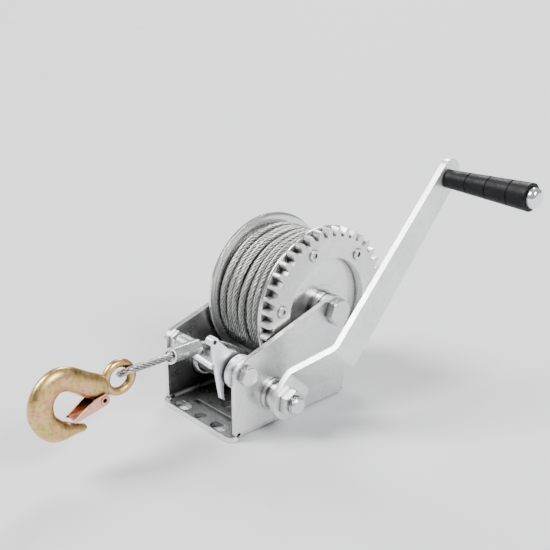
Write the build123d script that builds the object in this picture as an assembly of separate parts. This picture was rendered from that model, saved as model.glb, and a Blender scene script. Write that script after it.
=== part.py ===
from build123d import *
import math
import os

# Boat trailer hand winch, millimetres.
# +X runs along the drum axis toward the crank, -Y toward the hook, +Z up.
# The origin is the centre of the base's slot pattern, on the bottom face.

# Gear pair
MODULE = 2.8
PRESSURE_ANGLE = 20.0
GEAR_TEETH = 40
PINION_TEETH = 13
FLANK_GAP = 0.20
GEAR_TURN = -2.9

# Axes of the turning parts, as (y, z)
DRUM = (44.0, 70.8)
SHAFT = (-15.0, 25.8)
PAWL_PIVOT = (-39.5, 48.0)

# Bracket
PLATE = 4.0
WIDTH = 80.0
BEND_INSIDE = 3.0
CHEEK_FRONT = -48.5
CHEEK_REAR = 55.0
LIP_FRONT = -53.2
LIP_CORNER = 6.5
PAWL_CORNER = 9.0
DRUM_CORNER = 11.0
SLOT_X = 20.5
SLOT_Y = 47.5
SLOT_LENGTH = 15.0
SLOT_WIDTH = 8.5
STRAP_SLOT_Y = -36.0
STRAP_SLOT_LENGTH = 43.0
STRAP_SLOT_WIDTH = 4.2
DRAIN_HOLE_Y = -23.0
INNER = WIDTH / 2 - PLATE
OUTER = WIDTH / 2

# Bolts and shaft
DRUM_BOLT_RADIUS = 5.0
DRUM_BOLT_HOLE = 5.2
PAWL_BOLT_RADIUS = 4.0
PAWL_BOLT_HOLE = 4.2
SHAFT_RADIUS = 8.0
SHAFT_BORE = 8.05
SHAFT_BUSH_RADIUS = 10.45
STUD_RADIUS = 5.9
GRIP_BOLT_RADIUS = 4.0
LARGE_HEX = 17.0
NUT_HEX = 13.0
PAWL_HEAD_HEX = 12.0

# Drum
CORE_RADIUS = 18.0
CORE_WALL = 3.0
AXLE_TUBE_RADIUS = 8.0
AXLE_BORE = 8.06
COLLAR_RADIUS = 10.8
NEAR_FLANGE_X = 23.0
NEAR_FLANGE_PLATE = 2.8
NEAR_FLANGE_RADIUS = 58.7
FAR_FLANGE_X = -29.5
FAR_FLANGE_PLATE = 2.5
FAR_FLANGE_RADIUS = 56.4
FLARE = 0.9
GEAR_X = 26.0
GEAR_THICKNESS = 7.0
GEAR_HOLE_RADIUS = 36.8
RIVET_CIRCLE = 45.0
RIVET_COUNT = 6
RIVET_FIRST_ANGLE = 48.6
RIVET_RADIUS = 3.5
RIVET_HEAD = 1.6

# Wire rope
ROPE = 4.8
WRAPS = 7
COIL_RADIUS = 50.0
COIL_START = -29.0
COIL_END = 22.5

# Crank
ARM_ANGLE = 47.2
ARM_LENGTH = 187.0
ARM_TIP = 192.0
ARM_THICKNESS = 4.8
ARM_HUB_WIDTH = 26.6
ARM_TIP_WIDTH = 18.6
ARM_INNER_X = 51.3
ARM_OUTER_X = 75.4
ARM_BEND_START = 16.9
ARM_BEND_END = 45.1
ARM_BEND_RADIUS = 4.2
GRIP_START_RADIUS = 6.4
GRIP_END_RADIUS = 9.5
GRIP_LENGTH = 66.0
GRIP_X = ARM_OUTER_X + ARM_THICKNESS + 0.4
GRIP_GROOVES = (0.28, 0.53, 0.79)

# Pawl plate
PAWL_X = 26.5
PAWL_THICKNESS = 3.5
PAWL_PIN = (-57.3, 73.9)
PAWL_PIN_RADIUS = 3.2

# Rope end
ROPE_X = -2.0
FERRULE_Z = 56.7
STRAND_OFFSET = 2.7
LOOP_TILT = 32.0
LOOP_HALF = 6.6
FERRULE_FRONT = -70.4
FERRULE_REAR = -47.2
EYE = (-110.5, 54.9)
EYE_RADIUS = 9.8
EYE_WIRE = 2.85
EYE_NECK_Y = -94.2
LATCH_PIVOT = (-125.0, 45.4)
LATCH_HALF = 5.4
LATCH_HOLE = 2.15


def yz_plane(x):
    return Plane.YZ.offset(x)


def rod(x0, x1, radius, centre):
    section = yz_plane(x0) * Pos(*centre) * Circle(radius)
    return extrude(section, amount=x1 - x0)


def tube(x0, x1, radius, bore, centre):
    section = yz_plane(x0) * Pos(*centre) * (Circle(radius) - Circle(bore))
    return extrude(section, amount=x1 - x0)


def hexagon(x0, x1, across_flats, centre, turn=0.0, bore=0.0):
    """Hex head or nut with its corners cut by a turned chamfer."""
    shape = RegularPolygon(across_flats / 2, 6, major_radius=False)
    section = yz_plane(x0) * Pos(*centre) * Rot(0, 0, turn) * shape
    body = extrude(section, amount=x1 - x0)
    corner = across_flats / math.sqrt(3)
    blank = chamfer(rod(x0, x1, corner + 0.05, centre).edges().filter_by(GeomType.CIRCLE), 0.8)
    body = body & blank
    if bore:
        body = body - rod(x0 - 1, x1 + 1, bore, centre)
    return body


def half_plane_bar(start, end, width_start, width_end):
    """Tapered bar outline between two points of the Y-Z plane, without its rounded ends."""
    direction = (Vector(*end) - Vector(*start)).normalized()
    side = Vector(-direction.Y, direction.X)
    a = Vector(*start) + side * (width_start / 2)
    b = Vector(*start) - side * (width_start / 2)
    c = Vector(*end) - side * (width_end / 2)
    d = Vector(*end) + side * (width_end / 2)
    return make_face(Polyline(a, b, c, d, close=True))


# Bracket -----------------------------------------------------------------------------

def cheek_outline():
    front = CenterArc(PAWL_PIVOT, PAWL_CORNER, 0, 360)
    rear = CenterArc(DRUM, DRUM_CORNER, 0, 360)
    foot = Line((CHEEK_FRONT, 0), (CHEEK_REAR, 0))
    return make_hull([front, rear, foot])


def channel(length_from, length_to):
    """Bent channel section, drawn in X-Z and run along Y."""
    height = 120.0
    outer = Pos(0, height / 2) * Rectangle(WIDTH, height)
    outer = fillet(outer.vertices().group_by(Axis.Y)[0], BEND_INSIDE + PLATE)
    inner = Pos(0, PLATE + height / 2) * Rectangle(2 * INNER, height)
    inner = fillet(inner.vertices().group_by(Axis.Y)[0], BEND_INSIDE)
    plane = Plane((0, length_to, 0), x_dir=(1, 0, 0), z_dir=(0, -1, 0))
    return extrude(plane * (outer - inner), amount=length_to - length_from)


def base_lip():
    reach = CHEEK_FRONT + 2.6 - LIP_FRONT
    plate = Pos(0, LIP_FRONT + reach / 2) * Rectangle(WIDTH, reach)
    plate = fillet(plate.vertices().group_by(Axis.Y)[0], LIP_CORNER)
    return extrude(plate, amount=PLATE)


def base_openings():
    cuts = Sketch()
    for y in (-SLOT_Y, SLOT_Y):
        cuts += Pos(0, y) * Circle(SLOT_WIDTH / 2)
        for x in (-SLOT_X, SLOT_X):
            cuts += Pos(x, y) * SlotOverall(SLOT_LENGTH, SLOT_WIDTH)
    cuts += Pos(0, STRAP_SLOT_Y) * SlotOverall(STRAP_SLOT_LENGTH, STRAP_SLOT_WIDTH)
    cuts += Pos(0, DRAIN_HOLE_Y) * Circle(SLOT_WIDTH / 2)
    return extrude(Pos(0, 0, -1) * cuts, amount=PLATE + 2)


def bend_reliefs():
    front = rod(-OUTER - 1, OUTER + 1, 1.7, (CHEEK_FRONT + 2.6, PLATE + 0.8))
    rear = rod(-OUTER - 1, OUTER + 1, 1.7, (CHEEK_REAR - 0.6, PLATE + 3.2))
    core = Pos(0, 0, 20) * Box(2 * INNER - 4, 200, 60)
    return (front + rear) - core


def make_frame():
    blank = extrude(yz_plane(-OUTER) * cheek_outline(), amount=WIDTH)
    body = channel(CHEEK_FRONT - 1, CHEEK_REAR + 1) & blank
    body = body + base_lip() - base_openings() - bend_reliefs()
    body = body - rod(-OUTER - 1, OUTER + 1, SHAFT_BUSH_RADIUS + 0.05, SHAFT)
    body = body - rod(-OUTER - 1, OUTER + 1, DRUM_BOLT_HOLE, DRUM)
    return body - rod(-OUTER - 1, OUTER + 1, PAWL_BOLT_HOLE, PAWL_PIVOT)


# Drum axle ---------------------------------------------------------------------------

def make_drum_bolt():
    shank = rod(-54.0, OUTER + 0.5, DRUM_BOLT_RADIUS, DRUM)
    shank = chamfer(shank.faces().sort_by(Axis.X)[0].edges(), 1.0)
    return shank + hexagon(OUTER, OUTER + 6.4, LARGE_HEX, DRUM, turn=8)


def make_drum_washers():
    far = tube(-OUTER - 2.0, -OUTER, 10.4, DRUM_BOLT_HOLE, DRUM)
    inside = tube(INNER - 3.6, INNER, COLLAR_RADIUS - 0.6, AXLE_BORE, DRUM)
    return [far, inside]


def make_drum_nut():
    return hexagon(-OUTER - 10.2, -OUTER - 2.0, LARGE_HEX, DRUM, turn=20, bore=5.05)


def make_drum_axle_tube():
    return tube(-INNER, INNER, AXLE_TUBE_RADIUS, DRUM_BOLT_HOLE, DRUM)


# Drum --------------------------------------------------------------------------------

def make_drum_core():
    return tube(FAR_FLANGE_X, NEAR_FLANGE_X, CORE_RADIUS, CORE_RADIUS - CORE_WALL, DRUM)


def drum_bush(x0, x1, collar_x0, collar_x1):
    """Steel bush pressed into the end of the core, with its collar toward the cheek."""
    barrel = tube(x0, x1, CORE_RADIUS - CORE_WALL, AXLE_BORE, DRUM)
    return barrel + tube(collar_x0, collar_x1, COLLAR_RADIUS, AXLE_BORE, DRUM)


def make_drum_bushes():
    near_end = NEAR_FLANGE_X + NEAR_FLANGE_PLATE
    far_end = FAR_FLANGE_X - FAR_FLANGE_PLATE
    near = drum_bush(NEAR_FLANGE_X - 12, near_end, near_end, INNER - 4.0)
    far = drum_bush(far_end, FAR_FLANGE_X + 12, -INNER + 0.4, far_end)
    return [near, far]


def rivet_places():
    for step in range(RIVET_COUNT):
        angle = math.radians(RIVET_FIRST_ANGLE + step * 360 / RIVET_COUNT)
        yield (DRUM[0] + RIVET_CIRCLE * math.cos(angle), DRUM[1] + RIVET_CIRCLE * math.sin(angle))


def make_near_flange():
    x1 = NEAR_FLANGE_X + NEAR_FLANGE_PLATE
    plate = tube(NEAR_FLANGE_X, x1, NEAR_FLANGE_RADIUS, CORE_RADIUS - CORE_WALL, DRUM)
    rim = plate.edges().filter_by(GeomType.CIRCLE).group_by(SortBy.RADIUS)[-1]
    plate = fillet(rim, 1.2)
    for place in rivet_places():
        plate = plate - rod(NEAR_FLANGE_X - 1, x1 + 1, RIVET_RADIUS, place)
    return plate


def make_far_flange():
    """Pressed disc whose rim flares away from the rope, drawn as a turned section."""
    front = FAR_FLANGE_X
    back = FAR_FLANGE_X - FAR_FLANGE_PLATE
    bore = CORE_RADIUS - CORE_WALL
    bend = FAR_FLANGE_RADIUS - 5.0
    front_rim = (front - FLARE, FAR_FLANGE_RADIUS)
    back_rim = (back - FLARE, FAR_FLANGE_RADIUS - 0.4)
    section = make_face([
        Line((front, bore), (front, bend)),
        TangentArc((front, bend), front_rim, tangent=(0, 1)),
        Line(front_rim, back_rim),
        TangentArc((back, bend), back_rim, tangent=(0, 1)),
        Line((back, bend), (back, bore)),
        Line((back, bore), (front, bore)),
    ])
    return Pos(0, *DRUM) * revolve(section, Axis.X)


def involute_angle(radius, base):
    if radius <= base:
        return 0.0
    roll = math.sqrt((radius / base) ** 2 - 1)
    return roll - math.atan(roll)


def tooth_outline(teeth, tip, root, gap):
    """One gear's whole outline, involute flanks above the base circle, radial below it."""
    pitch = MODULE * teeth / 2
    base = pitch * math.cos(math.radians(PRESSURE_ANGLE))
    half = math.pi / (2 * teeth) - gap / pitch + involute_angle(pitch, base)
    start = max(base, root)
    radii = [start + (tip - start) * k / 4 for k in range(5)]
    if root < base:
        radii = [root] + radii
    points = []
    for tooth in range(teeth):
        middle = tooth * 2 * math.pi / teeth
        rising = [(r, middle - half + involute_angle(r, base)) for r in radii]
        falling = [(r, middle + half - involute_angle(r, base)) for r in reversed(radii)]
        points += [(r * math.cos(a), r * math.sin(a)) for r, a in rising + falling]
    return make_face(Polyline(*points, close=True))


def make_gear():
    pitch = MODULE * GEAR_TEETH / 2
    outline = tooth_outline(GEAR_TEETH, pitch + MODULE, pitch - 1.25 * MODULE, FLANK_GAP)
    toward_pinion = math.degrees(math.atan2(SHAFT[1] - DRUM[1], SHAFT[0] - DRUM[0]))
    blank = Rot(0, 0, toward_pinion + GEAR_TURN) * outline - Circle(GEAR_HOLE_RADIUS)
    body = extrude(yz_plane(GEAR_X) * Pos(*DRUM) * blank, amount=GEAR_THICKNESS)
    for place in rivet_places():
        body = body - rod(GEAR_X - 1, GEAR_X + GEAR_THICKNESS + 1, RIVET_RADIUS, place)
    return body


def make_gear_rivets():
    """Staked rivets: a low head on the gear face and a flush tail in the flange."""
    rivets = []
    face = GEAR_X + GEAR_THICKNESS
    for place in rivet_places():
        head = rod(face, face + RIVET_HEAD, RIVET_RADIUS + 0.8, place)
        head = fillet(head.faces().sort_by(Axis.X)[-1].edges(), 0.7)
        dimple = rod(face + 0.4, face + RIVET_HEAD + 1, RIVET_RADIUS - 1.5, place)
        rivets.append(rod(NEAR_FLANGE_X, face, RIVET_RADIUS, place) + head - dimple)
    return rivets


def make_rope_clamp():
    """Plate and screw that hold the rope's inner end on the far flange."""
    x = FAR_FLANGE_X - FAR_FLANGE_PLATE
    place = (DRUM[0] + 26.0, DRUM[1] - 10.0)
    plate = extrude(yz_plane(x - 1.4) * Pos(*place) * RectangleRounded(18, 11, 2.5), amount=1.4)
    head = rod(x - 3.0, x - 1.4, 4.6, (place[0] + 4.0, place[1]))
    return [plate, head]


def make_rope_wound():
    """Closed solid of the wound rope: one rounded ridge for each wrap of the top layer."""
    pitch = (COIL_END - COIL_START) / WRAPS
    valley = COIL_RADIUS - 2.2
    inner = CORE_RADIUS + 0.3
    lines = [
        Line((COIL_START, inner), (COIL_END, inner)),
        Line((COIL_START, inner), (COIL_START, valley)),
    ]
    for wrap in range(WRAPS):
        x = COIL_START + wrap * pitch
        crown = (x + pitch / 2, COIL_RADIUS)
        lines.append(ThreePointArc((x, valley), crown, (x + pitch, valley)))
    lines.append(Line((COIL_END, valley), (COIL_END, inner)))
    return Pos(0, *DRUM) * revolve(make_face(lines), Axis.X)


# Drive shaft and crank ---------------------------------------------------------------

def make_shaft_bushes():
    near = tube(INNER - 1.2, OUTER, SHAFT_BUSH_RADIUS, SHAFT_BORE, SHAFT)
    near = near + tube(OUTER, OUTER + 3.0, 11.5, SHAFT_BORE, SHAFT)
    far = tube(-OUTER, -INNER, SHAFT_BUSH_RADIUS, SHAFT_BORE, SHAFT)
    far = far + tube(-INNER, -INNER + 2.4, 12.0, SHAFT_BORE, SHAFT)
    return [near, far]


def make_pinion_shaft():
    shaft = rod(-46.5, ARM_INNER_X, SHAFT_RADIUS, SHAFT)
    shaft = chamfer(shaft.faces().sort_by(Axis.X)[0].edges(), 1.0)
    groove = tube(-42.4, -41.0, SHAFT_RADIUS + 1, SHAFT_RADIUS - 0.8, SHAFT)
    stud = rod(ARM_INNER_X, 66.4, STUD_RADIUS, SHAFT)
    stud = chamfer(stud.faces().sort_by(Axis.X)[-1].edges(), 0.9)
    return shaft - groove + stud


def make_pinion():
    pitch = MODULE * PINION_TEETH / 2
    outline = tooth_outline(PINION_TEETH, pitch + MODULE, pitch - 1.22 * MODULE, FLANK_GAP)
    toward_gear = math.degrees(math.atan2(DRUM[1] - SHAFT[1], DRUM[0] - SHAFT[0]))
    turn = toward_gear + 180 / PINION_TEETH - GEAR_TURN * GEAR_TEETH / PINION_TEETH
    blank = Rot(0, 0, turn) * outline - Circle(SHAFT_RADIUS)
    return extrude(yz_plane(26.2) * Pos(*SHAFT) * blank, amount=8.2)


def make_shaft_clip():
    """Open retaining ring in the groove outside the far cheek."""
    ring = tube(-42.3, -41.1, 10.4, 7.25, SHAFT)
    gap = Pos(-41.7, SHAFT[0], SHAFT[1] - 10) * Box(3, 5, 8)
    return ring - gap


def make_crank_spacer():
    return tube(OUTER + 3.3, ARM_INNER_X, 9.4, SHAFT_BORE, SHAFT)


def crank_direction():
    angle = math.radians(ARM_ANGLE)
    return Vector(math.cos(angle), math.sin(angle))


def crank_point(distance):
    at = Vector(*SHAFT) + crank_direction() * distance
    return (at.X, at.Y)


def vertices_at(face, places):
    return [v for v in face.vertices() if any(math.dist((v.X, v.Y), place) < 0.01 for place in places)]


def arm_profile():
    """Edge-on outline of the bar as (distance from the shaft, x), its two bends rounded."""
    overrun = 20
    slope = math.atan2(ARM_OUTER_X - ARM_INNER_X, ARM_BEND_END - ARM_BEND_START)
    shift = ARM_THICKNESS * math.tan(slope / 2)
    inner_face = [
        (-overrun, ARM_INNER_X),
        (ARM_BEND_START, ARM_INNER_X),
        (ARM_BEND_END, ARM_OUTER_X),
        (ARM_TIP + overrun, ARM_OUTER_X),
    ]
    outer_face = [
        (ARM_TIP + overrun, ARM_OUTER_X + ARM_THICKNESS),
        (ARM_BEND_END - shift, ARM_OUTER_X + ARM_THICKNESS),
        (ARM_BEND_START - shift, ARM_INNER_X + ARM_THICKNESS),
        (-overrun, ARM_INNER_X + ARM_THICKNESS),
    ]
    outline = make_face(Polyline(*inner_face, *outer_face, close=True))
    outline = fillet(vertices_at(outline, [inner_face[2], outer_face[2]]), ARM_BEND_RADIUS)
    outside = vertices_at(outline, [inner_face[1], outer_face[1]])
    return fillet(outside, ARM_BEND_RADIUS + ARM_THICKNESS)


def make_crank_arm():
    """Flat tapered bar: its face outline cut by its edge-on outline."""
    tip = crank_point(ARM_TIP)
    face = half_plane_bar(SHAFT, tip, ARM_HUB_WIDTH, ARM_TIP_WIDTH)
    face = face + Pos(*SHAFT) * Circle(ARM_HUB_WIDTH / 2) + Pos(*tip) * Circle(ARM_TIP_WIDTH / 2)
    blank = extrude(yz_plane(ARM_INNER_X - 5) * face, amount=50)
    along = crank_direction()
    edge_on = Plane((0, *SHAFT), x_dir=(0, along.X, along.Y), z_dir=(0, along.Y, -along.X))
    arm = blank & extrude(edge_on * arm_profile(), amount=30, both=True)
    arm = arm - rod(ARM_INNER_X - 1, ARM_INNER_X + 20, STUD_RADIUS + 0.05, SHAFT)
    return arm - rod(ARM_OUTER_X - 1, ARM_OUTER_X + 10, GRIP_BOLT_RADIUS + 0.1, crank_point(ARM_LENGTH))


def make_crank_nut():
    seat = ARM_INNER_X + ARM_THICKNESS
    return hexagon(seat, seat + 6.2, LARGE_HEX, SHAFT, turn=22.6, bore=STUD_RADIUS + 0.05)


def make_grip():
    """Tapered rubber grip with shallow grooves round it."""
    x0 = GRIP_X
    x1 = x0 + GRIP_LENGTH
    bore = GRIP_BOLT_RADIUS + 0.15
    centre = crank_point(ARM_LENGTH)
    section = Polyline((x0, bore), (x0, GRIP_START_RADIUS), (x1, GRIP_END_RADIUS), (x1, bore), close=True)
    body = Pos(0, *centre) * revolve(make_face(section), Axis.X)
    for fraction in GRIP_GROOVES:
        x = x0 + GRIP_LENGTH * fraction
        radius = GRIP_START_RADIUS + (GRIP_END_RADIUS - GRIP_START_RADIUS) * fraction
        body = body - tube(x - 0.5, x + 0.5, radius + 2, radius - 0.5, centre)
    return body


def make_grip_bolt():
    """Round-headed bolt with a dome at the grip's outer end."""
    centre = crank_point(ARM_LENGTH)
    x0 = GRIP_X + GRIP_LENGTH + 0.4
    shank = rod(ARM_OUTER_X - 2.8, x0 + 1.0, GRIP_BOLT_RADIUS, centre)
    head = rod(x0, x0 + 5.5, 7.0, centre)
    head = fillet(head.faces().sort_by(Axis.X)[-1].edges(), 3.8)
    return shank + head


def make_grip_nut():
    """Thin jam nut behind the arm."""
    centre = crank_point(ARM_LENGTH)
    return hexagon(ARM_OUTER_X - 2.2, ARM_OUTER_X, NUT_HEX, centre, turn=5, bore=GRIP_BOLT_RADIUS + 0.05)


# Pawl --------------------------------------------------------------------------------

def make_pawl_bolt():
    shank = rod(-OUTER - 0.6, OUTER + 0.5, PAWL_BOLT_RADIUS, PAWL_PIVOT)
    return shank + hexagon(OUTER, OUTER + 5.3, PAWL_HEAD_HEX, PAWL_PIVOT, turn=10)


def make_pawl_nut():
    return hexagon(-INNER, -INNER + 6.0, NUT_HEX, PAWL_PIVOT, turn=26, bore=PAWL_BOLT_RADIUS + 0.05)


def make_rope_guide_tube():
    return tube(-INNER + 6.0, PAWL_X - 0.3, 6.2, PAWL_BOLT_RADIUS + 0.1, PAWL_PIVOT)


def make_pawl_disc():
    return tube(32.3, INNER, 12.0, PAWL_BOLT_RADIUS + 0.1, PAWL_PIVOT)


def make_pawl():
    """Two-way pawl plate: thumb lever up front, weight arm down, two toes at the pinion."""
    y0, z0 = PAWL_PIVOT
    hub = Pos(y0, z0) * Circle(11.0)
    front = [(-51.9, 30.6), (-53.5, 39.7), (-56.0, 56.3), (-57.6, 71.0), (-56.0, 73.4)]
    top = [(-52.4, 72.4), (-45.3, 65.0), (-39.3, 62.1), (-36.2, 59.3), (-35.6, 56.7), (-32.5, 54.4)]
    inside = [(-38.0, 44.0), (-48.6, 47.0), (-49.7, 40.0), (-50.3, 34.6), (-49.2, 28.6)]
    plate = make_face(Polyline(*front, *top, *inside, close=True))
    toward = Vector(*SHAFT) - Vector(*PAWL_PIVOT)
    heading = math.degrees(math.atan2(toward.Y, toward.X))
    toes = Sketch()
    for side in (-1, 1):
        toe = make_face(Polyline((0, 3.5), (9.5, 6.6), (10.8, 4.2), (4, -2), close=True))
        toe = toe if side > 0 else mirror(toe, Plane.XZ)
        toes += Pos(y0, z0) * Rot(0, 0, heading) * toe
    outline = hub + plate + toes - Pos(y0, z0) * Circle(PAWL_BOLT_RADIUS + 0.15)
    outline = outline - Pos(*PAWL_PIN) * Circle(PAWL_PIN_RADIUS)
    return extrude(yz_plane(PAWL_X) * outline, amount=PAWL_THICKNESS)


def make_pawl_tab():
    """Thumb tab bent off the lever toward the middle of the winch."""
    free_end = Plane.YZ.offset(8.5) * Pos(-55.8, 55.5) * RectangleRounded(2.6, 3.0, 0.7)
    root = Plane.YZ.offset(PAWL_X) * Pos(-56.6, 54.5) * RectangleRounded(2.6, 3.0, 0.7)
    return loft([free_end, root])


def make_pawl_pin():
    """Hollow pin at the top of the lever."""
    return tube(PAWL_X - 1.5, PAWL_X + PAWL_THICKNESS + 1.0, PAWL_PIN_RADIUS, 1.6, PAWL_PIN)


def spring_point(radius, angle):
    return (PAWL_PIVOT[0] + radius * math.cos(angle), PAWL_PIVOT[1] + radius * math.sin(angle))


def make_pawl_spring():
    """Coil round the guide tube, and a hairpin loop that hangs in front of the tube."""
    rings = []
    for k in range(5):
        place = Pos(17.0 + 1.9 * k, *PAWL_PIVOT) * Rot(0, 90, 0)
        rings.append(place * Torus(7.5, 0.7))
    wire = 0.5
    start = math.radians(182)
    end = math.radians(318)
    hairpin = rod(0.0, 2.8, wire, spring_point(11.5, start))
    for x in (0.4, 2.4):
        near = (x, *spring_point(11.5, start))
        middle = (x, *spring_point(11.5, (start + end) / 2))
        far = (x, *spring_point(11.5, end))
        arc = ThreePointArc(near, middle, far)
        hairpin = hairpin + sweep(Plane(arc @ 0, z_dir=arc % 0) * Circle(wire), path=arc)
    return rings + [hairpin]


# Rope end ----------------------------------------------------------------------------

def strand_point(side, y, offset=STRAND_OFFSET, centre_z=FERRULE_Z):
    """A point of the near (+1) or far (-1) strand, in the tilted plane of the loop."""
    tilt = math.radians(LOOP_TILT)
    return (ROPE_X + side * offset * math.cos(tilt), y, centre_z + side * offset * math.sin(tilt))


def rope_route():
    """Drum, over the guide tube, through the ferrule, round the hook's eye and back."""
    lead_x = strand_point(1, 0)[0]
    angle = math.radians(-121.5)
    leave = COIL_RADIUS + ROPE / 2 + 0.4
    start = (DRUM[0] + leave * math.cos(angle), DRUM[1] + leave * math.sin(angle))
    front = FERRULE_FRONT - 2.0
    loop_y = EYE[0] + 1.9
    return [
        (lead_x, *start),
        (lead_x, -9.0, 41.4),
        (lead_x, -35.5, 58.9),
        strand_point(1, front),
        strand_point(1, EYE_NECK_Y, LOOP_HALF - 0.3),
        strand_point(1, loop_y, LOOP_HALF),
        strand_point(-1, loop_y, LOOP_HALF),
        strand_point(-1, EYE_NECK_Y, LOOP_HALF - 0.3),
        strand_point(-1, front),
        strand_point(-1, FERRULE_REAR + 1.4),
    ]


def rope_radii(points):
    radii = []
    for before, at, after in zip(points, points[1:], points[2:]):
        first = Vector(*at) - Vector(*before)
        second = Vector(*after) - Vector(*at)
        half_turn = math.radians(first.get_angle(second)) / 2
        radii.append(0.45 * min(first.length, second.length) / math.tan(half_turn))
    return radii


def make_rope_free():
    points = rope_route()
    radii = rope_radii(points)
    path = FilletPolyline(*points, radius=radii)
    start = Plane(path @ 0, z_dir=path % 0)
    rope = sweep(start * Circle(ROPE / 2), path=path)
    print("free rope radii", [round(r, 1) for r in radii])
    print("free rope length", round(path.length, 1))
    filled = math.pi * ROPE**2 / 4 * path.length
    print("volume over section times length", round(rope.volume / filled, 4))
    return rope


def make_ferrule():
    """Oval crimp sleeve, wide enough for the two strands side by side."""
    tilt = math.radians(LOOP_TILT)
    origin = (ROPE_X, FERRULE_REAR, FERRULE_Z)
    plane = Plane(origin, x_dir=(math.cos(tilt), 0, math.sin(tilt)), z_dir=(0, -1, 0))
    section = SlotOverall(15.6, 11.0) - SlotOverall(12.0, 6.2)
    return extrude(plane * section, amount=FERRULE_REAR - FERRULE_FRONT)


def hook_stations():
    """Centre line of the forged body as (y, z, width in the hook's plane, thickness)."""
    return [
        (-120.5, 52.4, 13.5, 7.0),
        (-125.9, 53.8, 16.0, 9.6),
        (-131.0, 56.1, 16.6, 10.6),
        (-135.9, 59.2, 15.9, 11.0),
        (-141.4, 63.1, 15.5, 11.0),
        (-147.8, 66.2, 16.1, 11.0),
        (-154.3, 66.8, 16.7, 11.0),
        (-160.1, 63.9, 16.9, 11.0),
        (-164.4, 58.7, 17.0, 11.0),
        (-166.5, 51.8, 17.1, 11.0),
        (-165.6, 44.4, 16.4, 11.0),
        (-162.3, 38.2, 15.7, 11.0),
        (-158.0, 34.3, 15.2, 10.9),
        (-153.4, 32.4, 13.0, 10.6),
        (-148.6, 31.5, 9.8, 9.8),
        (-143.4, 30.4, 6.3, 8.4),
        (-138.9, 29.4, 4.9, 6.4),
        (-137.0, 29.0, 3.2, 4.2),
    ]


def make_hook():
    stations = hook_stations()
    spine = Spline(*[(ROPE_X, y, z) for y, z, _, _ in stations])
    sections = []
    for y, z, width, thickness in stations:
        at = spine.param_at_point((ROPE_X, y, z))
        plane = Plane(spine @ at, x_dir=(1, 0, 0), z_dir=spine % at)
        sections.append(plane * Ellipse(thickness / 2, width / 2))
    eye = Pos(ROPE_X, *EYE) * Rot(0, 90, 0) * Torus(EYE_RADIUS, EYE_WIRE)
    pivot_y, pivot_z = LATCH_PIVOT
    neck_foot = [(pivot_y - 3.5, pivot_z), (pivot_y + 3.5, pivot_z)]
    neck = Polyline(*neck_foot, (-120.6, 51.5), (-129.0, 54), close=True)
    boss_face = Pos(*LATCH_PIVOT) * Circle(3.5) + make_face(neck)
    boss = extrude(yz_plane(ROPE_X - 2.2) * boss_face, amount=4.4)
    hole = rod(ROPE_X - 4, ROPE_X + 4, LATCH_HOLE, LATCH_PIVOT)
    pockets = rod(ROPE_X - 4.4, ROPE_X - 2.2, 3.4, LATCH_PIVOT)
    pockets = pockets + rod(ROPE_X + 2.2, ROPE_X + 4.4, 3.4, LATCH_PIVOT)
    return loft(sections) + eye + boss - hole - pockets


def make_latch():
    """Folded channel: a web underneath and two flanges that straddle the hook's shank."""
    nose = [(-120.9, 45.6), (-121.8, 48.4), (-124.2, 49.6)]
    top = [(-131.6, 48.1), (-138.4, 44.1), (-147.4, 38.4)]
    bottom = [(-147.0, 36.9), (-124.0, 41.5), (-121.6, 43.0)]
    flange = make_face(Polyline(*nose, *top, *bottom, close=True))
    sheet = 1.1
    solid = Part()
    for x0 in (ROPE_X - LATCH_HALF, ROPE_X + LATCH_HALF - sheet):
        solid += extrude(yz_plane(x0) * flange, amount=sheet)
    web = make_face(Polyline((-127.2, 41.2), (-127.0, 42.2), (-146.0, 38.4), (-146.2, 37.4), close=True))
    solid += extrude(yz_plane(ROPE_X - LATCH_HALF) * web, amount=2 * LATCH_HALF)
    return solid - rod(ROPE_X - 8, ROPE_X + 8, LATCH_HOLE, LATCH_PIVOT)


def make_latch_rivet():
    """Hollow rivet through the latch and the hook's boss."""
    body = rod(ROPE_X - LATCH_HALF - 0.1, ROPE_X + LATCH_HALF + 0.1, 2.1, LATCH_PIVOT)
    for x0 in (ROPE_X - LATCH_HALF - 0.5, ROPE_X + LATCH_HALF + 0.1):
        body = body + rod(x0, x0 + 0.4, 2.6, LATCH_PIVOT)
    return body - rod(ROPE_X - 8, ROPE_X + 8, 1.5, LATCH_PIVOT)


def make_latch_spring():
    rings = []
    for k in range(2):
        for side in (-1, 1):
            x = ROPE_X + side * (2.7 + 0.8 * k)
            rings.append(Pos(x, *LATCH_PIVOT) * Rot(0, 90, 0) * Torus(2.6, 0.32))
    return rings


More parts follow.
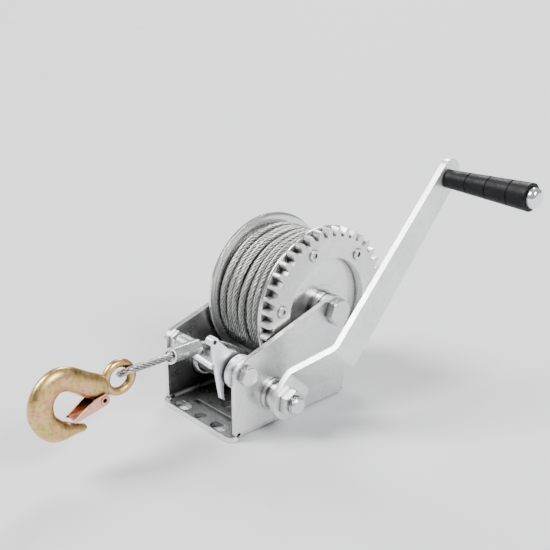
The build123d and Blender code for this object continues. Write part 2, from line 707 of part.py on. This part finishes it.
PARTS = {
    "frame": make_frame,
    "drum_bolt": make_drum_bolt,
    "drum_washers": make_drum_washers,
    "drum_nut": make_drum_nut,
    "drum_axle_tube": make_drum_axle_tube,
    "drum_core": make_drum_core,
    "drum_bushes": make_drum_bushes,
    "near_flange": make_near_flange,
    "far_flange": make_far_flange,
    "drum_gear": make_gear,
    "gear_rivets": make_gear_rivets,
    "rope_clamp": make_rope_clamp,
    "rope_wound": make_rope_wound,
    "shaft_bushes": make_shaft_bushes,
    "pinion_shaft": make_pinion_shaft,
    "pinion": make_pinion,
    "shaft_clip": make_shaft_clip,
    "crank_spacer": make_crank_spacer,
    "crank_arm": make_crank_arm,
    "crank_nut": make_crank_nut,
    "grip": make_grip,
    "grip_bolt": make_grip_bolt,
    "grip_nut": make_grip_nut,
    "pawl_bolt": make_pawl_bolt,
    "pawl_nut": make_pawl_nut,
    "rope_guide_tube": make_rope_guide_tube,
    "pawl_disc": make_pawl_disc,
    "pawl": make_pawl,
    "pawl_tab": make_pawl_tab,
    "pawl_pin": make_pawl_pin,
    "pawl_spring": make_pawl_spring,
    "rope_free": make_rope_free,
    "ferrule": make_ferrule,
    "hook": make_hook,
    "latch": make_latch,
    "latch_rivet": make_latch_rivet,
    "latch_spring": make_latch_spring,
}


def solids_of(shape):
    if isinstance(shape, (list, tuple)):
        return [solid for item in shape for solid in item.solids()]
    return list(shape.solids())


os.makedirs("parts", exist_ok=True)
for name, make in PARTS.items():
    solids = solids_of(make())
    export_step(Compound(children=solids) if len(solids) > 1 else solids[0], f"parts/{name}.step")
    box = Compound(children=solids).bounding_box()
    print(f"{name:16} {len(solids)} solids {sum(s.volume for s in solids):10.1f}",
          [round(v, 1) for v in (*box.min, *box.max)])
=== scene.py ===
import math
import bpy
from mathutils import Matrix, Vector


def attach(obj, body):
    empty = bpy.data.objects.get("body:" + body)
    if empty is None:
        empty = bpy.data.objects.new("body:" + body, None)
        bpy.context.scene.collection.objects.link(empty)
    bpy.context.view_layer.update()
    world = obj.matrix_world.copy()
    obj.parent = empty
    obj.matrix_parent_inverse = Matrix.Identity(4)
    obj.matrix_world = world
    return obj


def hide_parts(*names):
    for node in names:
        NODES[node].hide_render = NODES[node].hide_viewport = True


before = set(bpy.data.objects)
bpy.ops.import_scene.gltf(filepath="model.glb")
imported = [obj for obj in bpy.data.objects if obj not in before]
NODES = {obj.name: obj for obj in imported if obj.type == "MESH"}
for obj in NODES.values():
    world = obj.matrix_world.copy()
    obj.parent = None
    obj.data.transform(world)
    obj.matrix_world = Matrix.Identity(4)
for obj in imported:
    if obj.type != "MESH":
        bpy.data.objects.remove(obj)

# Boat trailer winch in the CAD model's own frame: +X along the drum's axis, -Y toward the hook.
# Blender works in metres. The numbers named below are millimetres and degrees, unless they say otherwise.
MM = 0.001
SCENE = bpy.context.scene
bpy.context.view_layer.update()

# Axes that run along X, as (Y, Z)
DRUM = (44.0, 70.8)
SHAFT = (-15.0, 25.8)
PAWL_PIVOT = (-39.5, 48.0)

# Rope, and the route of its free end
ROPE = 4.8
ROPE_LAY = 23.0
ROPE_STRANDS = 6
STRAND_FILL = 0.98
ROPE_X = -2.0
STRAND_OFFSET = 2.7
LOOP_TILT = math.radians(32.0)   # radians
LEAVE_ANGLE = -121.5
LEAVE_RADIUS = 52.8
FERRULE_Z = 56.7
FERRULE_MOUTH_Y = -72.4
FERRULE_END_Y = -45.8
EYE_NECK_Y = -94.2
EYE_NECK_HALF = 6.3
LOOP_Y = -108.6
LOOP_HALF = 6.6


# Camera, floor and light ---------------------------------------------------------------

FLOOR_HALF = 8.0                 # metres
LIT_POINT = (0.0, 0.0, 0.06)     # metres


def add_camera():
    data = bpy.data.cameras.new("camera")
    data.lens = 58.77
    data.sensor_width = 36.0
    data.clip_end = 50.0
    camera = bpy.data.objects.new("camera", data)
    SCENE.collection.objects.link(camera)
    camera.location = (0.44812, -0.38409, 0.31708)
    camera.rotation_euler = (math.radians(69.6), 0.0, math.radians(47.73))
    SCENE.camera = camera


def soft_light(name, location, spread, strength):
    """Large distant soft box, which lights the floor evenly; spread is its width in degrees."""
    data = bpy.data.lights.new(name, "SUN")
    data.angle = math.radians(spread)
    data.energy = strength
    light = bpy.data.objects.new(name, data)
    SCENE.collection.objects.link(light)
    light.location = location
    direction = Vector(LIT_POINT) - Vector(location)
    light.rotation_euler = direction.to_track_quat("-Z", "Y").to_euler()


def add_world():
    world = bpy.data.worlds.new("studio")
    SCENE.world = world
    world.use_nodes = True
    background = world.node_tree.nodes["Background"]
    background.inputs["Color"].default_value = (0.88, 0.88, 0.88, 1.0)
    background.inputs["Strength"].default_value = 0.30


def add_floor():
    h = FLOOR_HALF
    mesh = bpy.data.meshes.new("floor")
    mesh.from_pydata([(-h, -h, 0), (h, -h, 0), (h, h, 0), (-h, h, 0)], [], [(0, 1, 2, 3)])
    floor = bpy.data.objects.new("floor", mesh)
    SCENE.collection.objects.link(floor)
    material = Material("floor_paint", (0.63, 0.635, 0.655), metallic=0.0, roughness=0.7)
    material.tint([(0.3, (0.625, 0.63, 0.65)), (0.7, (0.645, 0.65, 0.67))], scale=6.0)
    mesh.materials.append(material.data)


# Materials -----------------------------------------------------------------------------

WHITE = (1.0, 1.0, 1.0)
EVEN = (1.0, 1.0, 1.0)          # a pattern that is not stretched


class Material:
    """Principled material whose colour, roughness and bump come from noise in object space."""

    def __init__(self, name, colour, metallic, roughness):
        self.data = bpy.data.materials.new(name)
        self.data.use_nodes = True
        self.tree = self.data.node_tree
        self.shader = self.tree.nodes["Principled BSDF"]
        self.shader.inputs["Base Color"].default_value = (*colour, 1.0)
        self.shader.inputs["Metallic"].default_value = metallic
        self.shader.inputs["Roughness"].default_value = roughness
        self.place = self.tree.nodes.new("ShaderNodeTexCoord").outputs["Object"]
        self.normal = None

    def link(self, source, target):
        self.tree.links.new(source, target)

    def noise(self, scale, detail, stretch=EVEN, distortion=0.0):
        mapping = self.tree.nodes.new("ShaderNodeMapping")
        mapping.inputs["Scale"].default_value = stretch
        self.link(self.place, mapping.inputs["Vector"])
        noise = self.tree.nodes.new("ShaderNodeTexNoise")
        noise.inputs["Scale"].default_value = scale
        noise.inputs["Detail"].default_value = detail
        noise.inputs["Distortion"].default_value = distortion
        self.link(mapping.outputs["Vector"], noise.inputs["Vector"])
        return noise.outputs["Fac"]

    def ramp(self, factor, stops):
        ramp = self.tree.nodes.new("ShaderNodeValToRGB")
        elements = ramp.color_ramp.elements
        while len(elements) < len(stops):
            elements.new(0.5)
        for element, (position, colour) in zip(elements, stops):
            element.position = position
            element.color = (*colour, 1.0)
        self.link(factor, ramp.inputs["Fac"])
        return ramp.outputs["Color"]

    def multiply(self, colour, pattern, strength):
        """Multiply a pattern over a colour, and make that the base colour."""
        mix = self.tree.nodes.new("ShaderNodeMix")
        mix.data_type = "RGBA"
        mix.blend_type = "MULTIPLY"
        mix.inputs["Factor"].default_value = strength
        self.link(colour, mix.inputs["A"])
        self.link(pattern, mix.inputs["B"])
        self.link(mix.outputs["Result"], self.shader.inputs["Base Color"])
        return mix.outputs["Result"]

    def tint(self, stops, scale, detail=3.0, stretch=EVEN, distortion=0.0):
        colour = self.ramp(self.noise(scale, detail, stretch, distortion), stops)
        self.link(colour, self.shader.inputs["Base Color"])
        return colour

    def blotch(self, colour, stops, scale, strength, detail=2.0):
        """Multiply a second pattern over a colour."""
        return self.multiply(colour, self.ramp(self.noise(scale, detail), stops), strength)

    def paint_shade(self, colour, distance, darkest, low=0.22, high=0.86, alone=False):
        """Paint shade into the colour in corners, gaps and hollows, from ambient occlusion."""
        occlusion = self.tree.nodes.new("ShaderNodeAmbientOcclusion")
        occlusion.samples = 16
        occlusion.only_local = alone
        occlusion.inputs["Distance"].default_value = distance * MM
        shade = self.ramp(occlusion.outputs["AO"], [(low, darkest), (high, WHITE)])
        return self.multiply(colour, shade, 1.0)

    def polish(self, low, high, scale, detail=4.0, stretch=EVEN):
        stops = [(0.3, (low,) * 3), (0.72, (high,) * 3)]
        grey = self.ramp(self.noise(scale, detail, stretch), stops)
        self.link(grey, self.shader.inputs["Roughness"])

    def bump(self, scale, depth, detail=2.0, stretch=EVEN):
        bump = self.tree.nodes.new("ShaderNodeBump")
        bump.inputs["Strength"].default_value = 1.0
        bump.inputs["Distance"].default_value = depth * MM
        self.link(self.noise(scale, detail, stretch), bump.inputs["Height"])
        if self.normal:
            self.link(self.normal, bump.inputs["Normal"])
        self.normal = bump.outputs["Normal"]
        self.link(self.normal, self.shader.inputs["Normal"])

    def soft_edges(self, radius):
        bevel = self.tree.nodes.new("ShaderNodeBevel")
        bevel.samples = 6
        bevel.inputs["Radius"].default_value = radius * MM
        self.normal = bevel.outputs["Normal"]
        self.link(self.normal, self.shader.inputs["Normal"])


def bright_zinc(name, base, edge=0.5, spread=0.05, rough=(0.24, 0.42), grain=EVEN, pits=0.007,
                hollow_shade=(20.0, 0.2, 0.22, 0.86), metallic=0.85, alone=False):
    """Bright zinc plate, with a fine grain, pale clouds, soft edges and painted shade in its hollows.

    edge is the radius of the soft edges, spread the contrast of the grain, rough the range of
    roughness and pits the depth of the bumps. The hollow setting gives the painted shade: its reach,
    its darkest colour, and the openness at which it is full and at which it ends. With alone, that
    painted shade comes from the piece's own shape, and neighbours only add a narrow painted shadow
    where they touch.
    """
    material = Material(name, base, metallic, roughness=0.32)
    material.soft_edges(edge)
    light = tuple(min(1.0, c + spread) for c in base)
    dark = tuple(c - spread for c in base)
    grained = material.tint([(0.32, dark), (0.5, base), (0.7, light)], 420.0, 4.0, grain)
    clouds = [(0.3, (0.86, 0.87, 0.89)), (0.68, WHITE)]
    cloudy = material.blotch(grained, clouds, scale=38.0, strength=0.8)
    # Painted shade: occlusion darkens the colour in corners and hollows; with alone, a second pass paints
    # a narrow shadow where neighbours touch.
    distance, darkest, low, high = hollow_shade
    shaded = material.paint_shade(cloudy, distance, (darkest,) * 3, low, high, alone)
    if alone:
        material.paint_shade(shaded, distance=2.2, darkest=(0.35,) * 3)
    material.polish(*rough, scale=160.0, detail=5.0, stretch=grain)
    material.bump(scale=900.0, depth=pits, detail=3.0, stretch=grain)
    material.bump(scale=60.0, depth=pits, detail=1.0)
    return material.data


def turned(name, base):
    """Turned or drawn metal: marks run round the X axis."""
    return bright_zinc(name, base, edge=0.3, spread=0.04, rough=(0.24, 0.4),
                       grain=(9.0, 1.0, 1.0), pits=0.003)


def wire_rope_steel(name, dim=1.0):
    material = Material(name, (0.5, 0.5, 0.48), metallic=1.0, roughness=0.38)
    bright = tuple(c * dim for c in (0.74, 0.75, 0.74))
    middle = tuple(c * dim for c in (0.54, 0.55, 0.54))
    dull = tuple(c * dim for c in (0.26, 0.26, 0.24))
    grained = material.tint([(0.3, dull), (0.5, middle), (0.68, bright)], 700.0, 4.0)
    clouds = [(0.3, (0.74, 0.74, 0.72)), (0.7, WHITE)]
    cloudy = material.blotch(grained, clouds, scale=45.0, strength=0.8)
    # Painted shade between the strands, from occlusion.
    material.paint_shade(cloudy, distance=1.8, darkest=(0.06, 0.06, 0.055), high=0.8)
    material.polish(0.28, 0.5, scale=300.0)
    material.bump(scale=1700.0, depth=0.05)
    return material.data


def yellow_zinc(name, base, pink, green, brown):
    """Yellow chromate over zinc, which drifts to pink and green, with fine brown specks."""
    material = Material(name, base, metallic=1.0, roughness=0.36)
    material.soft_edges(0.35)
    stops = [(0.30, green), (0.42, base), (0.52, base), (0.60, pink), (0.74, base)]
    drifting = material.tint(stops, scale=85.0, detail=8.0, distortion=0.6)
    specks = [(0.36, brown), (0.56, WHITE)]
    speckled = material.blotch(drifting, specks, scale=420.0, strength=0.5, detail=4.0)
    # Painted shade in the hook's and latch's hollows, from occlusion.
    material.paint_shade(speckled, distance=20.0, darkest=(0.15, 0.14, 0.05), low=0.3, high=0.8)
    material.polish(0.26, 0.48, scale=180.0, detail=5.0)
    material.bump(scale=700.0, depth=0.09, detail=4.0)
    material.bump(scale=90.0, depth=0.10)
    return material.data


def black_plastic(name):
    material = Material(name, (0.005, 0.005, 0.006), metallic=0.0, roughness=0.5)
    material.soft_edges(0.4)
    material.tint([(0.35, (0.003, 0.003, 0.004)), (0.7, (0.007, 0.007, 0.008))], scale=240.0)
    material.polish(0.40, 0.58, scale=320.0)
    material.bump(scale=1300.0, depth=0.03)
    material.shader.inputs["Specular IOR Level"].default_value = 0.16
    return material.data


def dress(names, material):
    for name in names.split():
        NODES[name].data.materials.clear()
        NODES[name].data.materials.append(material)


def dress_sheet_metal():
    # The hollow setting of each look sets its painted shade: reach, darkest colour, and where it is full
    # and where it ends.
    dress("frame drum_washers", bright_zinc(
        "bright_zinc_plate", (0.80, 0.80, 0.79), hollow_shade=(90.0, 0.05, 0.42, 0.97),
        metallic=0.95, alone=True))
    dress("crank_arm", bright_zinc(
        "crank_zinc", (0.81, 0.82, 0.80), edge=0.6, rough=(0.28, 0.46),
        hollow_shade=(8.0, 0.5, 0.22, 0.86), alone=True))
    dress("drum_gear pinion", bright_zinc(
        "gear_zinc", (0.80, 0.80, 0.78), edge=0.35, rough=(0.24, 0.44), pits=0.02,
        hollow_shade=(6.0, 0.1, 0.22, 0.9)))
    dress("near_flange far_flange rope_clamp drum_core", bright_zinc(
        "pressed_zinc", (0.80, 0.80, 0.79), rough=(0.14, 0.3),
        hollow_shade=(5.0, 0.4, 0.22, 0.86), metallic=0.9))
    dress("pawl pawl_tab pawl_pin pawl_disc", bright_zinc(
        "pawl_zinc", (0.90, 0.92, 0.93), edge=0.4, rough=(0.26, 0.42),
        hollow_shade=(8.0, 0.2, 0.22, 0.86)))


def dress_fasteners():
    # Here too the hollow setting is painted shade, such as the dark rings painted round the rivet heads.
    dress("gear_rivets", bright_zinc(
        "rivet_zinc", (0.78, 0.78, 0.76), edge=0.15, rough=(0.2, 0.36),
        hollow_shade=(2.5, 0.03, 0.3, 0.9)))
    dress("drum_bolt drum_nut pawl_bolt pawl_nut crank_nut grip_nut shaft_clip", bright_zinc(
        "fastener_zinc", (0.72, 0.72, 0.71), edge=0.2, rough=(0.14, 0.26),
        hollow_shade=(6.0, 0.08, 0.25, 0.95), metallic=1.0))
    dress("shaft_bushes crank_spacer drum_bushes", bright_zinc(
        "collar_zinc", (0.80, 0.80, 0.79), rough=(0.16, 0.3),
        hollow_shade=(5.0, 0.1, 0.22, 0.9), metallic=1.0))
    dress("grip_bolt", bright_zinc(
        "polished_bolt", (0.84, 0.85, 0.87), edge=0.3, spread=0.02, rough=(0.08, 0.2)))
    dress("pinion_shaft rope_guide_tube drum_axle_tube", turned("turned_steel", (0.68, 0.69, 0.70)))
    dress("pawl_spring latch_spring", turned("spring_wire", (0.56, 0.56, 0.56)))


def dress_rope_end_and_grip():
    dress("hook", yellow_zinc(
        "yellow_zinc_hook", base=(0.66, 0.44, 0.18), pink=(0.72, 0.41, 0.26),
        green=(0.47, 0.45, 0.15), brown=(0.50, 0.40, 0.26)))
    dress("latch latch_rivet", yellow_zinc(
        "pink_zinc_latch", base=(0.82, 0.44, 0.32), pink=(0.86, 0.46, 0.36),
        green=(0.74, 0.46, 0.24), brown=(0.70, 0.52, 0.42)))
    # The sleeve's hollow setting is painted shade as well.
    dress("ferrule", bright_zinc(
        "sleeve_aluminium", (0.82, 0.82, 0.81), edge=0.3, rough=(0.2, 0.32),
        hollow_shade=(3.0, 0.2, 0.22, 0.86), metallic=0.92))
    dress("rope_wound rope_free", wire_rope_steel("rope_core", 0.5))
    dress("grip", black_plastic("grip_plastic"))


# Mesh helpers --------------------------------------------------------------------------

def add_piece(name, vertices, faces, material, smooth=True):
    mesh = bpy.data.meshes.new(name)
    mesh.from_pydata([tuple(v) for v in vertices], [], faces)
    mesh.update()
    mesh.materials.append(material)
    for polygon in mesh.polygons:
        polygon.use_smooth = smooth
    piece = bpy.data.objects.new(name, mesh)
    SCENE.collection.objects.link(piece)
    return piece


def around(axis, x, radius, angle):
    """The point, in metres, at an angle in radians round an axis that runs along X."""
    return Vector((x, axis[0] + radius * math.cos(angle), axis[1] + radius * math.sin(angle))) * MM


def loft_faces(rings, sides, offset=0):
    """Faces of a closed solid whose vertices are rings of equal count, with flat ends."""
    faces = []
    for i in range(rings - 1):
        a = offset + i * sides
        b = a + sides
        for k in range(sides):
            after = (k + 1) % sides
            faces.append((a + k, a + after, b + after, b + k))
    last = offset + (rings - 1) * sides
    faces.append(tuple(offset + k for k in reversed(range(sides))))
    faces.append(tuple(last + k for k in range(sides)))
    return faces


def running_lengths(points):
    """The length of the line up to each of its points."""
    lengths = [0.0]
    for before, after in zip(points, points[1:]):
        lengths.append(lengths[-1] + (after - before).length)
    return lengths


def resample(points, step):
    """The same line with points an even distance apart."""
    lengths = running_lengths(points)
    count = max(2, round(lengths[-1] / step))
    result = []
    index = 0
    for i in range(count + 1):
        target = lengths[-1] * i / count
        while index < len(lengths) - 2 and lengths[index + 1] < target:
            index += 1
        share = (target - lengths[index]) / (lengths[index + 1] - lengths[index])
        result.append(points[index].lerp(points[index + 1], share))
    return result


def frames_along(points):
    """A tangent, a normal and a second normal at each point, carried along without twist."""
    last = len(points) - 1
    tangents = []
    for i in range(last + 1):
        tangents.append((points[min(i + 1, last)] - points[max(i - 1, 0)]).normalized())
    side = tangents[0].orthogonal().normalized()
    result = []
    for tangent in tangents:
        side = (side - tangent * side.dot(tangent)).normalized()
        result.append((tangent, side, tangent.cross(side)))
    return result


def tube_parts(points, radius, sides, offset=0):
    """Vertices and faces of a closed round tube along the points."""
    vertices = []
    for point, (_, side, up) in zip(points, frames_along(points)):
        for k in range(sides):
            angle = 2 * math.pi * k / sides
            vertices.append(point + (side * math.cos(angle) + up * math.sin(angle)) * radius)
    return vertices, loft_faces(len(points), sides, offset)


def rope_mesh(name, points, material, sides):
    """Laid wire rope: strands twisted round a core, along points in metres."""
    helix = ROPE * MM / 3
    strand = ROPE * MM / 6 * STRAND_FILL
    core = ROPE * MM / 5
    lengths = running_lengths(points)
    frames = frames_along(points)
    vertices, faces = tube_parts(points, core, 6)
    for number in range(ROPE_STRANDS):
        start = 2 * math.pi * number / ROPE_STRANDS
        line = []
        for point, run, (_, side, up) in zip(points, lengths, frames):
            angle = start + 2 * math.pi * run / (ROPE_LAY * MM)
            line.append(point + (side * math.cos(angle) + up * math.sin(angle)) * helix)
        more, extra = tube_parts(line, strand, sides, len(vertices))
        vertices += more
        faces += extra
    return add_piece(name, vertices, faces, material)


# Free rope -----------------------------------------------------------------------------

ROPE_STEP = 1.1
SLEEVE_SIDES = 14
SLEEVE_HALF = (7.8, 5.5)
SLEEVE_SQUARENESS = 0.86
# From the drum's side to the hook's: Y, and how much of the oval's width and thickness.
# The last two lead back into the recess in the front end.
SLEEVE_RINGS = (
    (-47.2, 0.95, 0.95),
    (-47.9, 1.0, 1.0),
    (-68.0, 1.0, 1.0),
    (-69.2, 1.035, 1.035),
    (-70.1, 1.04, 1.04),
    (-70.4, 0.99, 0.99),
    (-70.2, 0.816, 0.682),
    (-69.2, 0.80, 0.62),
)


def strand_point(side, y, offset=STRAND_OFFSET):
    """A point of the near (+1) or far (-1) strand, in the tilted plane of the loop."""
    across = side * offset
    return (ROPE_X + across * math.cos(LOOP_TILT), y, FERRULE_Z + across * math.sin(LOOP_TILT))


def rope_route():
    """Drum, over the guide tube, through the ferrule, round the hook's eye and back."""
    lead_x = strand_point(1, 0.0)[0]
    leave = math.radians(LEAVE_ANGLE)
    start_y = DRUM[0] + LEAVE_RADIUS * math.cos(leave)
    start_z = DRUM[1] + LEAVE_RADIUS * math.sin(leave)
    return [
        (lead_x, start_y, start_z),
        (lead_x, -9.0, 41.4),
        (lead_x, -35.5, 58.9),
        strand_point(1, FERRULE_MOUTH_Y),
        strand_point(1, EYE_NECK_Y, EYE_NECK_HALF),
        strand_point(1, LOOP_Y, LOOP_HALF),
        strand_point(-1, LOOP_Y, LOOP_HALF),
        strand_point(-1, EYE_NECK_Y, EYE_NECK_HALF),
        strand_point(-1, FERRULE_MOUTH_Y),
        strand_point(-1, FERRULE_END_Y),
    ]


def smooth_line(points):
    """Points read from a NURBS spline that has the route's points as its control points."""
    curve = bpy.data.curves.new("route", "CURVE")
    curve.dimensions = "3D"
    curve.resolution_u = 24
    spline = curve.splines.new("NURBS")
    spline.points.add(len(points) - 1)
    for control, place in zip(spline.points, points):
        control.co = (place[0] * MM, place[1] * MM, place[2] * MM, 1.0)
    spline.order_u = 3
    spline.use_endpoint_u = True
    holder = bpy.data.objects.new("route", curve)
    SCENE.collection.objects.link(holder)
    mesh = bpy.data.meshes.new_from_object(holder)
    line = [v.co.copy() for v in mesh.vertices]
    bpy.data.objects.remove(holder)
    bpy.data.meshes.remove(mesh)
    return line


def add_free_rope(material):
    line = resample(smooth_line(rope_route()), ROPE_STEP * MM)
    rope = rope_mesh("free_rope_strands", line, material, sides=8)
    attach(rope, "bracket")
    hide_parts("rope_free")
    add_sleeve()


def squared_off(share, half):
    """One coordinate of an oval with flattened sides; share is its angle's cosine or sine."""
    return math.copysign(abs(share) ** SLEEVE_SQUARENESS * half, share)


def add_sleeve():
    """Crimped oval sleeve with a rolled front rim and a shallow recess inside the rim."""
    outer = []
    for k in range(SLEEVE_SIDES):
        angle = 2 * math.pi * (k + 0.5) / SLEEVE_SIDES
        outer.append((squared_off(math.cos(angle), SLEEVE_HALF[0]),
                      squared_off(math.sin(angle), SLEEVE_HALF[1])))
    vertices = []
    for y, wide, thick in SLEEVE_RINGS:
        for u, v in outer:
            u, v = u * wide, v * thick
            x = ROPE_X + u * math.cos(LOOP_TILT) - v * math.sin(LOOP_TILT)
            z = FERRULE_Z + u * math.sin(LOOP_TILT) + v * math.cos(LOOP_TILT)
            vertices.append(Vector((x, y, z)) * MM)
    faces = loft_faces(len(SLEEVE_RINGS), SLEEVE_SIDES)
    material = NODES["ferrule"].data.materials[0]
    sleeve = add_piece("rope_sleeve", vertices, faces, material, smooth=False)
    bevel = sleeve.modifiers.new("edges", "BEVEL")
    bevel.width = 0.35 * MM
    bevel.segments = 2
    bevel.limit_method = "ANGLE"
    bevel.angle_limit = math.radians(12)
    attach(sleeve, "bracket")
    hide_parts("ferrule")
    return sleeve


# Wound rope ----------------------------------------------------------------------------

# Outer layer: the rope's last half turn climbs over the rest to where it leaves the drum.
TOP_TURNS = 7.25
TOP_PITCH = 7.2
TOP_STEPS = 110                 # per turn
TOP_FIRST_X = 19.6
TOP_FAR_X = -26.9
TOP_NEAR_X = 19.8
TOP_CLIMB = 4.3
TOP_LEAN = 3.6

# Lower layer, which shows between the wraps of the outer one
LOW_TURNS = 8.6
LOW_PITCH = 5.5
LOW_STEPS = 90                  # per turn
LOW_FIRST_X = -25.6
LOW_LAST_X = 20.3
LOW_RADIUS = 44.3
LOW_START_ANGLE = 40.0

# Section of the plain roll under the laid strands: X and radius
INNER_STEPS = 96
INNER_PROFILE = (
    (22.6, 19.0), (22.6, 42.4), (10.0, 42.8), (-4.0, 42.5), (-16.0, 42.9), (-29.0, 42.4), (-29.0, 19.0),
)


def wander(turns, seed):
    """Slow uneven sideways drift of a hand-wound rope, in millimetres."""
    slow = 1.1 * math.sin(2.3 * turns + seed)
    middle = 0.7 * math.sin(7.1 * turns + 2.1 * seed)
    return slow + middle + 0.3 * math.sin(15.7 * turns)


def drum_point(turns, x, radius, start=LEAVE_ANGLE):
    return around(DRUM, x, radius, math.radians(start) + 2 * math.pi * turns)


def ease(value, low, high):
    share = min(1.0, max(0.0, (value - low) / (high - low)))
    return share * share * (3 - 2 * share)


def bunched(x, turns):
    """Lean the wraps away from the far flange over the top of the drum."""
    lean = 0.5 + 0.5 * math.sin(2 * math.pi * turns - 1.95)
    return x + TOP_LEAN * (20.0 - x) / 47.0 * lean * lean


def top_layer():
    exit_x = strand_point(1, 0.0)[0]
    points = []
    for i in range(int(TOP_TURNS * TOP_STEPS) + 1):
        s = i / TOP_STEPS
        settled = ease(s, 0.08, 0.5)
        wound_x = TOP_FIRST_X - TOP_PITCH * max(0.0, s - 0.5) + wander(s, 0.7) * ease(s, 0.4, 0.9)
        wound_x = max(TOP_FAR_X, min(TOP_NEAR_X, wound_x))
        x = exit_x + (bunched(wound_x, s) - exit_x) * settled
        ripple = 0.35 * math.sin(5.3 * s) * ease(s, 0.7, 1.0)
        radius = LEAVE_RADIUS - TOP_CLIMB * ease(s, 0.42, 0.66) + ripple
        points.append(drum_point(s, x, radius))
    return points


def lower_layer():
    points = []
    for i in range(int(LOW_TURNS * LOW_STEPS) + 1):
        s = i / LOW_STEPS
        x = LOW_FIRST_X + LOW_PITCH * s + 0.45 * wander(s, 2.9)
        radius = LOW_RADIUS + 0.2 * math.sin(3.7 * s)
        points.append(drum_point(s, min(LOW_LAST_X, x), radius, LOW_START_ANGLE))
    return points


def add_plain_roll(material):
    """The solid ring of rope that shows between the laid strands, in a darker copy of the rope steel:
    painted shade for the deep gaps.
    """
    vertices = []
    faces = []
    for x, radius in INNER_PROFILE:
        for k in range(INNER_STEPS):
            vertices.append(around(DRUM, x, radius, 2 * math.pi * k / INNER_STEPS))
    for i in range(len(INNER_PROFILE)):
        a = i * INNER_STEPS
        b = (i + 1) % len(INNER_PROFILE) * INNER_STEPS
        for k in range(INNER_STEPS):
            after = (k + 1) % INNER_STEPS
            faces.append((a + k, b + k, b + after, a + after))
    return add_piece("wound_rope_inner", vertices, faces, material)


def add_wound_rope(material, dark):
    sides = 7
    top = rope_mesh("wound_rope_top", top_layer(), material, sides=sides)
    low = rope_mesh("wound_rope_below", lower_layer(), material, sides=sides)
    inner = add_plain_roll(dark)
    for piece in (top, low, inner):
        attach(piece, "drum")
    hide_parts("rope_wound")


# Threads and springs -------------------------------------------------------------------

THREAD_STEPS = 28               # per turn
THREAD_SINK = 0.15              # how deep the ridge's foot sits in the shank
THREAD_FADE = 10                # steps over which the ridge grows at each end

SPRING_WIRE_RADIUS = 0.5
SPRING_STEP = 0.9
COIL_TURNS = 5
COIL_STEPS = 28                 # per turn
COIL_RADIUS = 7.4
COIL_FOOT = 318
COIL_NEAR_X = 25.2
COIL_FAR_X = 16.6
HAIRPIN_RADIUS = 11.5
HAIRPIN_LEGS = ((2.4, 316, 182), (0.4, 182, 318))     # X, first and last angle
HAIRPIN_STEPS = 24
LEAD_STEPS = 8


def add_thread(name, x0, x1, radius, depth, pitch, centre, body):
    """A helical ridge on a plain shank along X."""
    count = int((x1 - x0 - pitch) / pitch * THREAD_STEPS)
    foot = radius - THREAD_SINK
    vertices = []
    for i in range(count + 1):
        angle = 2 * math.pi * i / THREAD_STEPS
        x = x0 + pitch / 2 + pitch * i / THREAD_STEPS
        grown = min(1.0, i / THREAD_FADE, (count - i) / THREAD_FADE + 0.02)
        crest = radius + depth * grown
        section = ((-0.46, foot), (-0.08, crest), (0.08, crest), (0.46, foot))
        for along, r in section:
            vertices.append(around(centre, x + along * pitch, r, angle))
    faces = loft_faces(count + 1, len(section))
    steel = NODES["drum_bolt"].data.materials[0]
    thread = add_piece(name, vertices, faces, steel, smooth=False)
    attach(thread, body)


def add_pawl_spring():
    """Torsion spring: a coil round the guide tube whose free end makes a hairpin loop."""
    foot = math.radians(COIL_FOOT)
    steps = COIL_TURNS * COIL_STEPS
    line = []
    for i in range(steps + 1):
        x = COIL_NEAR_X - (COIL_NEAR_X - COIL_FAR_X) * i / steps
        line.append(around(PAWL_PIVOT, x, COIL_RADIUS, foot + 2 * math.pi * i / COIL_STEPS))
    for i in range(1, LEAD_STEPS + 1):
        share = i / LEAD_STEPS
        x = COIL_FAR_X - (COIL_FAR_X - HAIRPIN_LEGS[0][0]) * share
        radius = COIL_RADIUS + (HAIRPIN_RADIUS - COIL_RADIUS) * share
        line.append(around(PAWL_PIVOT, x, radius, foot))
    for x, start, end in HAIRPIN_LEGS:
        for i in range(HAIRPIN_STEPS + 1):
            angle = math.radians(start + (end - start) * i / HAIRPIN_STEPS)
            line.append(around(PAWL_PIVOT, x, HAIRPIN_RADIUS, angle))
    vertices, faces = tube_parts(resample(line, SPRING_STEP * MM), SPRING_WIRE_RADIUS * MM, 10)
    wire = NODES["pawl_spring"].data.materials[0]
    spring = add_piece("pawl_torsion_spring", vertices, faces, wire)
    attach(spring, "bracket")
    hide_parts("pawl_spring")


# Build ---------------------------------------------------------------------------------

add_camera()
add_floor()
dress_sheet_metal()
dress_fasteners()
dress_rope_end_and_grip()
strand_steel = wire_rope_steel("rope_strands")
add_free_rope(strand_steel)
# rope_inner is the rope steel at 0.45 of its colour: painted shade on the rope deep between the wraps.
add_wound_rope(strand_steel, wire_rope_steel("rope_inner", 0.45))
add_pawl_spring()
add_thread("crank_stud_thread", 60.8, 65.6, radius=5.9, depth=0.35, pitch=1.75,
           centre=SHAFT, body="crank")
add_thread("drum_bolt_thread", -53.2, -48.4, radius=5.0, depth=0.3, pitch=1.5,
           centre=DRUM, body="bracket")
add_world()
soft_light("key", (-0.7, -0.9, 1.3), spread=29.0, strength=6.1)
soft_light("fill", (1.3, 0.1, 1.1), spread=23.0, strength=3.6)
soft_light("back", (-0.9, 1.0, 1.2), spread=19.0, strength=2.2)

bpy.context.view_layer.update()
